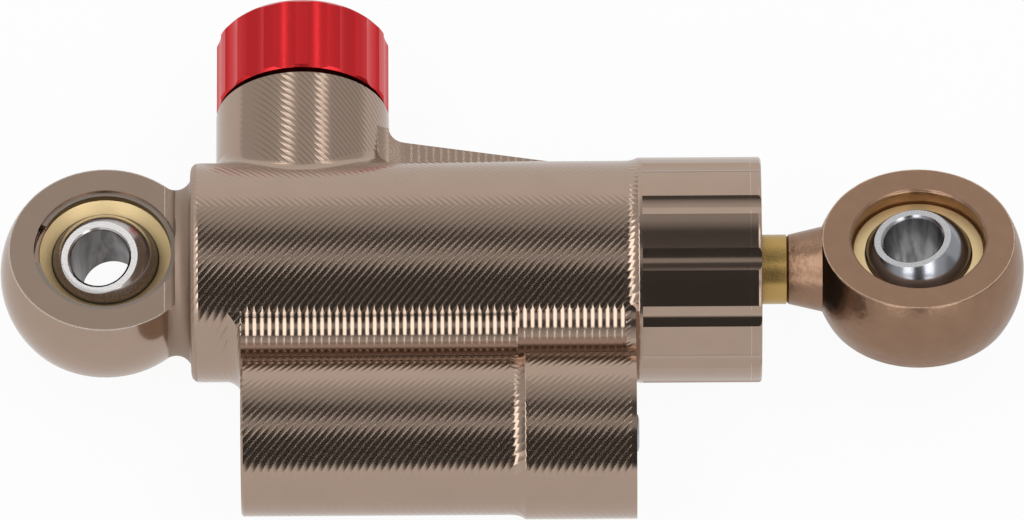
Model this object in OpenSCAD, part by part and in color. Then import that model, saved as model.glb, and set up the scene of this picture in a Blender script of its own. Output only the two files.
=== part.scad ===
/* [Eyes] */
// radius of the ball each eye is turned from
eye_r = 14.22; // [12:0.01:16]
// half the thickness between an eye's two flats
eye_half = 5.8; // [5:0.1:7]
// distance of the rod eye from the collar's end with the rod fully in
eye_out = 21.2; // [20:0.05:40]
// distance of the rod eye from the foot of its neck
eye_neck = 17.8; // [16:0.05:20]
// turn of the rod eye about the rod
rod_eye_turn = 10.5; // [-90:0.5:90]
// inner radius of the lip that carries a race
eye_lip_r = 8.2; // [7.8:0.1:8.6]
// width of the round at the foot of the body eye's flats
eye_flat_round = 0.9; // [0.3:0.1:2]
// length of the flare on the rod eye's neck
eye_flare_len = 4.8; // [2:0.1:8]
// height of that flare
eye_flare = 1.05; // [0.3:0.05:1.5]

/* [Bearings] */
// outer radius of a race
race_r = 9; // [8.5:0.1:9.5]
// half the width of the dished race in the body
body_race_half = 4.5; // [3.5:0.1:5]
// half the width of the flat race in the rod eye
rod_race_half = 3.5; // [3.4:0.1:4.5]
// depth of its dish
race_dish = 1.15; // [0.5:0.05:1.5]
// radius of a race's mouth
race_mouth_r = 7.22; // [6.5:0.01:7.5]
// radius of the steel ball
ball_r = 7.94; // [7:0.01:8.5]
// half the length of the ball between its faces
ball_half = 6; // [5:0.1:7]
// radius of the bolt hole through the ball
bolt_hole_r = 4; // [3:0.1:5]
// chamfer at the ends of the bolt hole
bolt_hole_chamfer = 0.35; // [0.1:0.05:0.6]
// lean of the body's ball as it rests
body_ball_lean = 13.8; // [0:0.1:15]
// compass direction of that lean
body_ball_toward = 238; // [0:1:360]
// lean of the rod eye's ball as it rests
rod_ball_lean = 7.9; // [0:0.1:15]
// compass direction of that lean
rod_ball_toward = 190.5; // [0:0.5:360]

/* [Snap ring] */
// inner radius of the ring
snap_in_r = 8.9; // [8.5:0.05:9]
// outer radius of the ring, down in its groove
snap_out_r = 9.85; // [9.5:0.05:10.5]
// thickness of the ring
snap_h = 0.85; // [0.6:0.05:1.2]
// radius of the counterbore over the ring
snap_mouth_r = 9.62; // [9.2:0.02:9.8]
// angle left open between the ring's ends
snap_open = 38; // [10:1:60]
// compass direction of the opening
snap_toward = 172; // [0:1:360]

/* [Barrel] */
// outer radius of the barrel
barrel_r = 14.78; // [14:0.02:16]
// where the barrel starts, from the eye's centre
barrel_x = 11.5; // [10:0.01:13]
// where the barrel ends and the collar starts
collar_x = 71.4; // [68:0.1:75]
// inner radius of the cylinder
bore_r = 10; // [9:0.1:10.5]
// where the cylinder's closed end is
bore_x = 15.2; // [14:0.1:17]
// width of the round at the barrel's start
barrel_round = 1.1; // [0.5:0.1:2]
// least radius of the neck behind the eye
neck_r = 11.2; // [10:0.1:12]
// radius of the round tool that cut the neck
neck_round = 2.15; // [1.5:0.05:3]

/* [Collar] */
// outer radius of the collar
collar_r = 15.2; // [15:0.1:16]
// where the collar ends
collar_end_x = 88.4; // [85:0.1:92]
// radius of the tool that cut the rise from the barrel to the collar
collar_fillet = 1; // [0.5:0.1:2]
// width of the round at the collar's end
collar_round = 0.45; // [0.2:0.05:1]
// number of grooves along the collar
groove_count = 12; // [8:1:16]
// turn of the first groove from the upright
groove_turn = 28; // [0:0.5:30]
// depth of a groove
groove_depth = 0.36; // [0.1:0.01:0.4]
// radius of a groove, across it
groove_r = 4.15; // [2:0.05:6]

/* [Reservoir] */
// distance of the reservoir's axis below the barrel's
res_drop = 26.2; // [25:0.1:30]
// outer radius of the long part
res_r = 10.9; // [10:0.1:12]
// outer radius of the thicker end
res_end_r = 11.5; // [10:0.1:12]
// where the reservoir starts
res_x = 18.3; // [17:0.1:20]
// where the thicker end starts
res_step_x = 55.5; // [50:0.1:60]
// radius of the hollow round between the reservoir's start and the barrel
res_round = 2.2; // [1:0.1:3]
// length of the slope up to the thicker end
res_step_len = 1.4; // [0.5:0.1:3]
// inner radius of the reservoir
res_bore_r = 7.7; // [7:0.1:9]
// where the reservoir's bore starts
res_bore_x = 20.9; // [20:0.1:22]
// radius of the valley between reservoir and barrel
valley_r = 5; // [4:0.1:6]
// radius of the valley beside the thicker end
valley_end_r = 6; // [4:0.1:7]

/* [Valve boss] */
// distance of the knob's axis from the eye
knob_x = 26.55; // [25:0.05:30]
// outer radius of the boss
boss_r = 11.7; // [11:0.1:13]
// height of the boss above the barrel's axis
boss_y = 24.9; // [22:0.05:27]
// radius of the valve's bore in the boss
valve_r = 7.5; // [6:0.1:8]
// height of that bore's floor
valve_floor_y = 14; // [13.5:0.1:15]
// radius of the well under the floor
well_r = 6.6; // [5:0.1:7]
// depth of the well
well_depth = 1; // [0.5:0.1:1.5]

/* [Oilway web] */
// half the width of the web behind the boss
web_half = 5; // [3:0.1:6]
// height of the web where it leaves the boss
web_y = 17.75; // [16:0.05:20]
// where that height is measured
web_x = 39.3; // [38:0.1:45]
// where the web has sunk into the barrel
web_end_x = 57.6; // [50:0.2:65]
// radius of the oilways
oilway_r = 1.2; // [0.8:0.1:1.5]
// where the short oilway to the valve opens
oilway_x = 21.1; // [20:0.1:22]
// where the oilway to the reservoir opens
res_oilway_x = 22.4; // [22:0.1:23]
// height of the long oilway where it leaves the valve
oilway_y = 16.3; // [15:0.1:17]
// radius of the corner between web and boss
web_corner_r = 2.6; // [1:0.1:4]
// radius of the hollow round from the web's top up the boss
web_top_r = 2.4; // [1:0.1:4]

/* [Piston and rod] */
// radius of the rod
rod_r = 4.7; // [4:0.05:6]
// radius of the rod's stud through the piston
stud_r = 3; // [2.5:0.1:3.5]
// radius of the rod's stud in the rod eye
tail_r = 3.5; // [3:0.1:4]
// where the stud ends
stud_x = 18.4; // [17:0.1:20]
// where the rod's shoulder stands
shoulder_x = 33; // [30:0.1:36]
// length of the stud in the rod eye
tail_len = 6.4; // [5:0.1:7]
// length of the piston
piston_len = 8.4; // [6:0.1:10]
// thickness of the washer behind the piston
washer_h = 0.6; // [0.4:0.1:1]
// outer radius of that washer
washer_r = 6.5; // [5:0.1:8]
// width of the piston's wear ring
ring_w = 4; // [2:0.1:5]
// thickness of the wear ring
ring_t = 1.5; // [1:0.1:2]
// width of the nut across its flats
nut_af = 10; // [8:0.1:11]
// thickness of the nut
nut_h = 5; // [4:0.1:6]

/* [Gland] */
// radius of the gland's seat in the collar
gland_r = 12; // [11:0.1:12.5]
// how far inside the collar's end the gland ends
gland_in = 2.4; // [2:0.1:4]
// length of the gland
gland_len = 13; // [12:0.1:14]
// thickness of the gland's walls between its hollows
gland_wall = 1.2; // [0.8:0.1:1.5]
// thickness of the gland's circlip
clip_h = 1; // [0.8:0.1:1.5]
// width of the circlip's wire
clip_w = 1.8; // [1.5:0.1:2]
// depth of the circlip's groove
clip_depth = 0.8; // [0.5:0.1:1.2]
// thickness of the rod bush's wall
bush_t = 1; // [0.8:0.1:1.5]
// length of the rod bush
bush_len = 5; // [4:0.1:7]
// width of the rod seal
seal_w = 2.4; // [2:0.1:3]
// height of the rod seal
seal_t = 1.9; // [1.5:0.1:2.5]
// width of the wiper
wiper_w = 2.6; // [2:0.1:3]
// height of the wiper
wiper_t = 2.2; // [1.5:0.1:2.5]
// thickness of the rubber stop ahead of the gland
top_stop_h = 1.6; // [1:0.1:3]
// thickness of the rubber stop at the closed end
bump_h = 3.3; // [2:0.1:3.5]

/* [Seals] */
// section radius of the small seals
small_seal = 0.5; // [0.3:0.05:0.8]
// section radius of the large seals
large_seal = 0.8; // [0.5:0.05:1]

/* [Reservoir pieces] */
// where the floating piston starts
float_x = 40; // [34:0.1:45]
// length of the floating piston
float_len = 8; // [6:0.1:10]
// how far inside the reservoir's end its cap ends
cap_in = 1.9; // [1.8:0.1:4]
// length of the cap
cap_len = 5.6; // [5:0.1:8]
// radius of the charging screw's head
charge_head_r = 2.9; // [2:0.1:4]
// depth of the counterbore that its head sits in
charge_seat_h = 1.1; // [0.5:0.1:1.5]
// how far the screw's head stands out of the end face
charge_out = 0.35; // [0.1:0.05:1]
// radius of the charging screw's thread
charge_r = 1.9; // [1.5:0.1:2.5]
// width across the flats of the screws' sockets
key_af = 2; // [1.5:0.5:2.5]

/* [Knob] */
// radius of the knob at its ridges
knob_r = 11.65; // [10:0.05:13]
// where the knob starts above the barrel's axis
knob_y = 25.75; // [25:0.05:27]
// height of the knob
knob_h = 11.3; // [8:0.1:13]
// chamfer round the knob's top
knob_chamfer = 0.8; // [0.2:0.1:2]
// number of flutes round the knob
flute_count = 16; // [10:1:24]
// radius of the tool that cut a flute
flute_r = 5; // [2:0.1:8]
// depth of a flute
flute_depth = 0.32; // [0.1:0.02:1]
// depth of the hollow under the knob
knob_hollow = 1; // [0.5:0.1:2]
// radius of that hollow
knob_hollow_r = 9.9; // [8:0.1:10.5]
// width of the square that drives the spindle
drive_w = 3.6; // [3:0.1:4]
// radius of the screw's counterbore in the knob's top
screw_seat_r = 5.5; // [3:0.1:7]
// depth of that counterbore
screw_seat_h = 3; // [2:0.1:4]
// radius of the knob screw's head
screw_head_r = 2.8; // [2:0.1:3.5]
// height of the knob screw's head
screw_head_h = 1.7; // [1:0.1:2.5]
// radius of the knob screw's thread
screw_r = 1.5; // [1:0.1:2]
// length of the knob screw's thread
screw_len = 6; // [4:0.1:8]

/* [Valve] */
// thickness of the bonnet's flange on the boss
bonnet_flange = 0.5; // [0.4:0.1:0.7]
// radius of the bonnet's flange
bonnet_flange_r = 9.4; // [9:0.1:10]
// thickness of the bonnet below its seal
bonnet_wall = 0.6; // [0.4:0.1:1]
// height of the bonnet's foot
bonnet_y = 20; // [19.5:0.1:21]
// radius of the spindle
spindle_r = 2.5; // [2:0.1:3]
// radius of the spindle's thrust collar
thrust_r = 4; // [3.5:0.1:5]
// thickness of the thrust collar
thrust_h = 0.8; // [0.5:0.1:1]
// radius of the spindle's lead thread
lead_r = 1.95; // [1.5:0.05:2.2]
// where the lead thread ends
lead_y = 17.1; // [17:0.1:18]
// height of the seat's top
seat_y = 19; // [18.5:0.1:19.2]
// thickness of the seat's floor
seat_floor = 1.2; // [1:0.1:1.5]
// radius of the four holes through the seat's wall
port_r = 0.8; // [0.5:0.1:1]
// width of the needle's hexagon across its flats
needle_af = 6; // [5:0.1:7]
// height where the needle's hexagon starts
needle_y = 16; // [15.8:0.1:16.5]
// height of the hexagon
needle_h = 2.3; // [1.5:0.1:2.5]
// radius of the needle's plug
needle_r = 1.2; // [0.8:0.1:1.5]
// length of the needle's plug
needle_plug = 0.7; // [0.4:0.1:1]
// length of the needle's cone
needle_cone = 0.9; // [0.5:0.1:1.2]
// radius of the needle's tip
needle_tip_r = 0.3; // [0.1:0.1:0.6]
// radius of the detent balls
detent_r = 1.5; // [1:0.1:2]
// distance of the detent balls from the knob's axis
detent_at = 7.2; // [6:0.1:8]
// depth of a detent's dimple in the bonnet
dimple_depth = 0.25; // [0.1:0.05:0.4]
// number of dimples round the bonnet
dimple_count = 12; // [8:2:24]
// radius of the wire of a detent's spring
wire_r = 0.18; // [0.1:0.01:0.3]
// rise of a detent's spring for each curl
curl_rise = 0.8; // [0.6:0.05:1]
// number of curls in a detent's spring
curl_count = 4; // [3:1:6]

/* [Fits] */
// chamfer on the edges of turned pieces
edge = 0.3; // [0.1:0.05:0.4]
// gap beside a piece that a ring or bush carries
wide_gap = 0.3; // [0.2:0.05:0.5]
// gap between a shaft and its hole, all round
run_gap = 0.05; // [0.02:0.01:0.1]
// gap between pieces that are fixed together
fix_gap = 0.02; // [0.01:0.01:0.05]
// gap end to end between pieces that turn past each other
end_gap = 0.1; // [0.05:0.05:0.3]
// how far a hollow round sinks into the faces it runs out on
sink = 0.03; // [0.01:0.01:0.1]

/* [Hidden] */
$fn = 96;
body_tone = [0.62, 0.54, 0.46];
eye_tone = [0.5, 0.38, 0.3];
brass_tone = [0.8, 0.66, 0.38];
steel_tone = [0.75, 0.75, 0.77];
gold_tone = [0.78, 0.62, 0.25];
knob_tone = [0.78, 0.08, 0.1];
rubber_tone = [0.07, 0.07, 0.07];
dark_tone = [0.25, 0.24, 0.23];
rod_eye_x = collar_end_x + eye_out;
neck_x = rod_eye_x - eye_neck;
gland_end_x = collar_end_x - gland_in;
gland_x = gland_end_x - gland_len;
cap_end_x = collar_x - cap_in;
cap_x = cap_end_x - cap_len;
race_seat_r = race_r + fix_gap;
socket_r = ball_r + run_gap;
snap_z = body_race_half + end_gap;
neck_tool_r = neck_r + neck_round;
neck_tool_x = sqrt(pow(eye_r + neck_round, 2) - pow(neck_tool_r, 2));
web_slope = (web_y - barrel_r) / (web_end_x - web_x);
res_y = -res_drop;
valve_wall_x = knob_x + valve_r;
well_y = valve_floor_y - well_depth;
piston_x = shoulder_x - washer_h - piston_len;
piston_r = bore_r - wide_gap;
washer_x = shoulder_x - washer_h;
nut_x = piston_x - nut_h;
clip_x = gland_end_x + fix_gap;
rod_hole_r = rod_r + wide_gap;
seal_x = gland_x + gland_wall;
bush_x = seal_x + seal_w + gland_wall;
wiper_x = gland_end_x - wiper_w;
gland_seal_x = bush_x + large_seal;
top_stop_x = gland_x - top_stop_h;
float_r = res_bore_r - wide_gap;
res_clip_x = cap_end_x + fix_gap;
charge_head_x = cap_end_x - charge_seat_h;
charge_top_x = collar_x + charge_out;
knob_top_y = knob_y + knob_h;
screw_seat_y = knob_top_y - screw_seat_h;
spindle_top_y = screw_seat_y - 2 * wide_gap;
drive_y = knob_y + knob_hollow + wide_gap;
bonnet_top_y = boss_y + bonnet_flange;
thrust_y = seat_y + end_gap;
bonnet_seal_y = bonnet_y + bonnet_wall + small_seal;
spindle_seal_y = bonnet_seal_y + small_seal;
seat_seal_y = valve_floor_y + 1.5 * small_seal;
lead_hole_y = needle_y + wide_gap;
detent_y = bonnet_top_y + detent_r + run_gap;
pocket_top_y = detent_y + detent_r + curl_rise * (curl_count + 0.5);
spring_y = detent_y + detent_r + wire_r;
spring_r = detent_r - 2 * wire_r;

module along_x(x, y = 0) translate([x, y, 0]) rotate([0, 90, 0]) children();

module along_y(y) translate([knob_x, y, 0]) rotate([-90, 0, 0]) children();

// points of a quarter round, as turned, from one angle to the next
function round_points(x, y, r, from) =
    [for (i = [0 : 3]) [x + r * cos(from + 30 * i), y + r * sin(from + 30 * i)]];

module ring(r_out, r_in, h) difference() {
    cylinder(r = r_out, h = h);
    translate([0, 0, -1]) cylinder(r = r_in, h = h + 2);
}

module seal(r_mid, r_section) rotate_extrude()
    translate([r_mid, 0]) circle(r = r_section, $fn = 24);

module hexagon(af, h) cylinder(r = af / sqrt(3), h = h, $fn = 6);

module circlip(r_out, width, h) difference() {
    ring(r_out, r_out - width, h);
    translate([0, -width, -1]) cube([r_out + 1, 2 * width, h + 2]);
}

module leaned(lean, toward) rotate([0, 0, toward]) rotate([0, lean, 0])
    rotate([0, 0, -toward]) children();

module in_rod_eye() translate([rod_eye_x, 0, 0]) rotate([-rod_eye_turn, 0, 0])
    children();

// what is milled off the body's eye to leave its two flats
module flats() for (up = [0, 1]) mirror([0, 0, up]) rotate([90, 0, 0])
    translate([0, 0, -2 * eye_r]) linear_extrude(4 * eye_r) {
        far = neck_tool_x - eye_flat_round;
        translate([-2 * eye_r, eye_half]) square([far + 2 * eye_r, eye_r]);
        translate([-2 * eye_r, eye_half + eye_flat_round])
            square([2 * eye_r + neck_tool_x, eye_r]);
        translate([far, eye_half + eye_flat_round]) circle(r = eye_flat_round);
    }

module eye_and_neck() difference() {
    union() {
        sphere(r = eye_r);
        along_x(0) rotate_extrude() difference() {
            translate([0, neck_tool_x * eye_r / (eye_r + neck_round)])
                square([neck_tool_r, barrel_x]);
            translate([neck_tool_r, neck_tool_x]) circle(r = neck_round + sink);
        }
    }
    flats();
}

module barrel_form() along_x(0) rotate_extrude() polygon(concat(
    [[0, barrel_x]],
    round_points(barrel_r - barrel_round, barrel_x + barrel_round, barrel_round, -90),
    [[barrel_r, collar_x], [0, collar_x]]));

module collar_form() difference() {
    rise = collar_r - barrel_r;
    rise_angle = acos(1 - rise / collar_fillet);
    along_x(0) rotate_extrude() polygon(concat(
        [[0, collar_x - 1], [barrel_r - sink, collar_x - 1]],
        [for (i = [0 : 4]) [barrel_r + collar_fillet * (1 - cos(rise_angle * i / 4)),
            collar_x + collar_fillet * sin(rise_angle * i / 4)]],
        round_points(collar_r - collar_round, collar_end_x - collar_round,
            collar_round, 0),
        [[0, collar_end_x]]));
    for (i = [0 : groove_count - 1])
        rotate([groove_turn + i * 360 / groove_count, 0, 0])
        translate([collar_x + sink, 0, collar_r - groove_depth + groove_r])
        rotate([0, 90, 0]) cylinder(r = groove_r, h = collar_end_x);
}

module reservoir_form() along_x(0, res_y) rotate_extrude() polygon([
    [0, res_x], [res_r - edge, res_x], [res_r, res_x + edge],
    [res_r, res_step_x], [res_end_r, res_step_x + res_step_len],
    [res_end_r, collar_x], [0, collar_x]]);

// the metal between barrel and reservoir, hollowed on both sides
module valley(x0, x1, r_res, r_tool) {
    across = (pow(barrel_r + r_tool, 2) - pow(r_res + r_tool, 2)
        + pow(res_drop, 2)) / (2 * res_drop);
    up = sqrt(pow(barrel_r + r_tool, 2) - pow(across, 2));
    barrel_touch = barrel_r / (barrel_r + r_tool);
    res_touch = r_res / (r_res + r_tool);
    translate([x0, 0, 0]) rotate([90, 0, 90]) linear_extrude(x1 - x0)
        difference() {
            polygon([[-across * barrel_touch, up * barrel_touch],
                [-res_drop + (res_drop - across) * res_touch, up * res_touch],
                [-res_drop + (res_drop - across) * res_touch, -up * res_touch],
                [-across * barrel_touch, -up * barrel_touch]]);
            for (side = [-1, 1]) translate([-across, side * up])
                circle(r = r_tool + sink);
        }
}

// the hollow round between the reservoir's start and the barrel
module start_round() intersection() {
    valley(res_x - res_round, res_x + sink, res_r, valley_r);
    along_x(0) rotate_extrude() difference() {
        translate([neck_r, res_x - res_round])
            square([barrel_r + res_round - neck_r, res_round + sink]);
        translate([barrel_r + res_round, res_x - res_round]) circle(r = res_round + sink);
    }
}

module boss_form() {
    along_y(0) cylinder(r = boss_r, h = boss_y - edge / 2);
    along_y(boss_y - edge / 2) cylinder(r1 = boss_r, r2 = boss_r - edge / 2, h = edge / 2);
}

// the web over the long oilway, with round corners where it meets the boss
module web_form() {
    corner_x = sqrt(pow(boss_r + web_corner_r, 2) - pow(web_half + web_corner_r, 2));
    far_x = web_end_x + 1.2 * web_half;
    round_x = knob_x + boss_r + web_top_r;
    round_y = web_y - web_slope * (round_x - web_x)
        + web_top_r * sqrt(1 + pow(web_slope, 2));
    turn = 90 - atan(web_slope);
    intersection() {
        translate([0, 0, -boss_r]) linear_extrude(2 * boss_r)
            polygon(concat([[knob_x, 0], [knob_x, round_y]],
                [for (i = [0 : 6]) [round_x, round_y] + web_top_r
                    * [cos(180 + turn * i / 6), sin(180 + turn * i / 6)]],
                [[far_x, web_y - web_slope * (far_x - web_x)], [far_x, 0]]));
        rotate([-90, 0, 0]) linear_extrude(boss_y) {
            translate([knob_x, -web_half]) square([far_x - knob_x, 2 * web_half]);
            difference() {
                translate([knob_x, -boss_r * 0.8])
                    square([corner_x, boss_r * 1.6]);
                for (side = [-1, 1])
                    translate([knob_x + corner_x, side * (web_half + web_corner_r)])
                        circle(r = web_corner_r + sink);
                for (side = [0, 1]) mirror([0, side])
                    polygon([[knob_x + corner_x * boss_r / (boss_r + web_corner_r),
                        (web_half + web_corner_r) * boss_r / (boss_r + web_corner_r)],
                        [knob_x + corner_x, web_half + web_corner_r],
                        [knob_x + corner_x + 1, web_half + web_corner_r],
                        [knob_x + corner_x + 1, boss_r], [knob_x, boss_r],
                        [knob_x, boss_r * 0.9]]);
            }
        }
    }
}

module eye_bore() {
    translate([0, 0, -body_race_half - fix_gap]) cylinder(r = race_seat_r, h = 2 * eye_r);
    translate([0, 0, -eye_r]) cylinder(r = eye_lip_r, h = eye_r);
    translate([0, 0, snap_z - fix_gap]) cylinder(r = snap_out_r + fix_gap, h = snap_h + 2 * fix_gap);
    translate([0, 0, body_race_half]) cylinder(r = snap_mouth_r, h = eye_r);
}

module oilways() {
    translate([oilway_x, bore_r - 1, 0]) rotate([-90, 0, 0])
        cylinder(r = oilway_r, h = well_y + 2 - bore_r);
    translate([res_oilway_x, 1 - bore_r, 0]) rotate([90, 0, 0])
        cylinder(r = oilway_r, h = res_drop - bore_r);
    translate([valve_wall_x - 1, oilway_y + web_slope, 0])
        rotate([0, 90, -atan(web_slope)])
        cylinder(r = oilway_r, h = gland_x - valve_wall_x);
}

module body() color(body_tone) difference() {
    union() {
        eye_and_neck();
        barrel_form();
        collar_form();
        reservoir_form();
        valley(res_x, res_step_x, res_r, valley_r);
        valley(res_step_x, collar_x, res_end_r, valley_end_r);
        start_round();
        boss_form();
        web_form();
    }
    eye_bore();
    along_x(bore_x) cylinder(r = bore_r, h = collar_x);
    along_x(gland_x) cylinder(r = gland_r, h = collar_end_x);
    along_x(clip_x - fix_gap) cylinder(r = gland_r + clip_depth, h = clip_h + 2 * fix_gap);
    along_x(collar_end_x - edge) cylinder(r1 = gland_r, r2 = gland_r + 2 * edge, h = 2 * edge);
    along_x(res_bore_x, res_y) cylinder(r = res_bore_r, h = collar_x);
    along_x(res_clip_x - fix_gap, res_y)
        cylinder(r = res_bore_r + clip_depth, h = clip_h + 2 * fix_gap);
    along_y(valve_floor_y) cylinder(r = valve_r, h = boss_y);
    along_y(well_y) cylinder(r = well_r, h = boss_y);
    oilways();
}

module body_race() color(brass_tone) rotate_extrude() difference() {
    polygon([[race_mouth_r - 1, -body_race_half], [race_r - edge, -body_race_half],
        [race_r, edge - body_race_half], [race_r, body_race_half - edge / 2],
        [race_r - edge / 2, body_race_half], [race_mouth_r, body_race_half - race_dish],
        [race_mouth_r - 1, body_race_half - race_dish]]);
    circle(r = socket_r);
    square([2 * race_mouth_r, 4 * body_race_half], center = true);
}

module ball_form() difference() {
    sphere(r = ball_r);
    for (up = [0, 1]) mirror([0, 0, up]) {
        translate([-ball_r, -ball_r, ball_half]) cube(2 * ball_r);
        translate([0, 0, ball_half - bolt_hole_chamfer])
            cylinder(r1 = bolt_hole_r, r2 = bolt_hole_r + 2 * bolt_hole_chamfer,
                h = 2 * bolt_hole_chamfer);
    }
    translate([0, 0, -ball_r]) cylinder(r = bolt_hole_r, h = 2 * ball_r);
}

module body_ball() color(steel_tone)
    leaned(body_ball_lean, body_ball_toward) ball_form();

module snap_ring() color(steel_tone) translate([0, 0, snap_z])
    difference() {
        ring(snap_out_r, snap_in_r, snap_h);
        rotate([0, 0, snap_toward]) linear_extrude(3 * snap_h, center = true)
            polygon([[0, 0],
                [2 * race_r, 2 * race_r * tan(snap_open / 2)],
                [2 * race_r, -2 * race_r * tan(snap_open / 2)]]);
    }

module rod_eye() color(eye_tone) difference() {
    union() {
        in_rod_eye() sphere(r = eye_r);
        along_x(0) rotate_extrude() polygon([[0, neck_x], [rod_r - edge, neck_x],
            [rod_r, neck_x + edge], [rod_r + eye_flare, neck_x + eye_flare_len],
            [rod_r + eye_flare, rod_eye_x - race_r], [0, rod_eye_x - race_r]]);
    }
    in_rod_eye() {
        for (up = [0, 1]) mirror([0, 0, up]) translate([-2 * eye_r, -2 * eye_r, eye_half])
            cube(4 * eye_r);
        translate([0, 0, -rod_race_half - fix_gap])
            cylinder(r = race_seat_r, h = 2 * eye_r);
        translate([0, 0, -eye_r]) cylinder(r = eye_lip_r, h = eye_r);
        translate([0, 0, eye_half - edge])
            cylinder(r1 = race_seat_r, r2 = race_seat_r + 2 * edge, h = 2 * edge);
    }
    along_x(neck_x - 1) cylinder(r = tail_r + fix_gap, h = tail_len + 1 + wide_gap);
}

module rod_race() color(brass_tone) in_rod_eye() rotate_extrude() difference() {
    polygon([[race_mouth_r - 1, -rod_race_half], [race_r - edge, -rod_race_half],
        [race_r, edge - rod_race_half], [race_r, rod_race_half - edge],
        [race_r - edge, rod_race_half], [race_mouth_r - 1, rod_race_half]]);
    circle(r = socket_r);
}

module rod_ball() color(steel_tone) in_rod_eye()
    leaned(rod_ball_lean, rod_ball_toward) ball_form();

module piston_rod() color(gold_tone) along_x(0) rotate_extrude() polygon([
    [0, stud_x], [stud_r - edge, stud_x], [stud_r, stud_x + edge],
    [stud_r, shoulder_x], [rod_r, shoulder_x], [rod_r, neck_x - fix_gap],
    [tail_r, neck_x - fix_gap], [tail_r, neck_x + tail_len - edge],
    [tail_r - edge, neck_x + tail_len], [0, neck_x + tail_len]]);

module piston() color(steel_tone) along_x(piston_x + fix_gap) difference() {
    cylinder(r = piston_r, h = piston_len - 2 * fix_gap);
    translate([0, 0, -1]) cylinder(r = stud_r + run_gap, h = piston_len + 2);
    translate([0, 0, (piston_len - ring_w) / 2 - fix_gap])
        ring(bore_r, bore_r - run_gap - ring_t - fix_gap, ring_w + 2 * fix_gap);
}

module piston_ring() color(dark_tone) along_x(piston_x + (piston_len - ring_w) / 2 + fix_gap)
    ring(bore_r - run_gap, bore_r - run_gap - ring_t, ring_w);

module piston_washer() color(steel_tone) along_x(washer_x + fix_gap)
    ring(washer_r, stud_r + fix_gap, washer_h - 2 * fix_gap);

module piston_nut() color(steel_tone) along_x(nut_x) difference() {
    intersection() {
        hexagon(nut_af, nut_h - fix_gap);
        cylinder(r1 = nut_af / 2 + edge, r2 = nut_af / 2 + edge + nut_h, h = nut_h);
    }
    translate([0, 0, -1]) cylinder(r = stud_r + fix_gap, h = nut_h + 2);
}

module bump_stop() color(rubber_tone) along_x(bore_x + fix_gap)
    ring(bore_r - 3 * wide_gap, stud_r + 2 * wide_gap, bump_h);

module top_stop() color(rubber_tone) along_x(top_stop_x)
    ring(bore_r - 2 * wide_gap, rod_r + 2 * wide_gap, top_stop_h - fix_gap);

module gland() color(dark_tone) difference() {
    along_x(gland_x + fix_gap) cylinder(r = gland_r - fix_gap, h = gland_end_x - gland_x - fix_gap);
    along_x(gland_x - 1) cylinder(r = rod_hole_r, h = gland_end_x);
    along_x(seal_x) cylinder(r = rod_r + seal_t + fix_gap, h = seal_w + fix_gap);
    along_x(bush_x) cylinder(r = rod_r + run_gap + bush_t + fix_gap, h = bush_len + fix_gap);
    along_x(wiper_x) cylinder(r = rod_r + wiper_t + fix_gap, h = gland_end_x);
    along_x(gland_seal_x - large_seal - fix_gap)
        ring(gland_r + 1, gland_r - 2 * large_seal - fix_gap,
            2 * large_seal + 2 * fix_gap);
}

module rod_bush() color(brass_tone) along_x(bush_x + fix_gap)
    ring(rod_r + run_gap + bush_t, rod_r + run_gap, bush_len - fix_gap);

module rod_seal() color(rubber_tone) along_x(0) rotate_extrude() polygon([
    [rod_r + run_gap, seal_x + fix_gap], [rod_r + seal_t / 4, seal_x + seal_w / 4],
    [rod_r + seal_t - edge, seal_x + fix_gap], [rod_r + seal_t, seal_x + edge],
    [rod_r + seal_t, seal_x + seal_w], [rod_hole_r, seal_x + seal_w]]);

module rod_wiper() color(rubber_tone) along_x(0) rotate_extrude() polygon([
    [rod_hole_r, wiper_x + fix_gap], [rod_r + wiper_t, wiper_x + fix_gap],
    [rod_r + wiper_t, gland_end_x - edge], [rod_r + wiper_t / 2, gland_end_x - edge],
    [rod_r + wiper_t / 4, gland_end_x + edge], [rod_r + run_gap, gland_end_x + edge],
    [rod_hole_r, gland_end_x - 2 * edge]]);

module gland_seal() color(rubber_tone) along_x(gland_seal_x)
    seal(gland_r - large_seal - fix_gap / 2, large_seal - fix_gap / 2);

module gland_circlip() color(steel_tone) along_x(clip_x)
    circlip(gland_r + clip_depth - fix_gap, clip_w, clip_h);

module float_piston() color(steel_tone) along_x(float_x, res_y) difference() {
    cylinder(r = float_r, h = float_len);
    translate([0, 0, 3 * large_seal]) cylinder(r = float_r - 3 * large_seal, h = float_len);
    translate([0, 0, 2 * large_seal])
        ring(res_bore_r, res_bore_r - run_gap - 2 * large_seal - fix_gap, 2 * large_seal);
}

module float_seal() color(rubber_tone) along_x(float_x + 3 * large_seal, res_y)
    seal(res_bore_r - run_gap - large_seal, large_seal - fix_gap);

module reservoir_cap() color(dark_tone) difference() {
    along_x(cap_x, res_y) cylinder(r = res_bore_r - fix_gap, h = cap_end_x - cap_x);
    along_x(cap_x + 2 * large_seal, res_y)
        ring(res_bore_r, res_bore_r - 2 * large_seal - fix_gap, 2 * large_seal);
    along_x(cap_x - 1, res_y) cylinder(r = charge_r + fix_gap, h = cap_end_x);
    along_x(charge_head_x - fix_gap, res_y) cylinder(r = charge_head_r + wide_gap, h = cap_end_x);
}

module cap_seal() color(rubber_tone) along_x(cap_x + 3 * large_seal, res_y)
    seal(res_bore_r - large_seal - fix_gap / 2, large_seal - fix_gap);

module cap_circlip() color(steel_tone) along_x(res_clip_x, res_y)
    circlip(res_bore_r + clip_depth - fix_gap, clip_w, clip_h);

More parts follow.
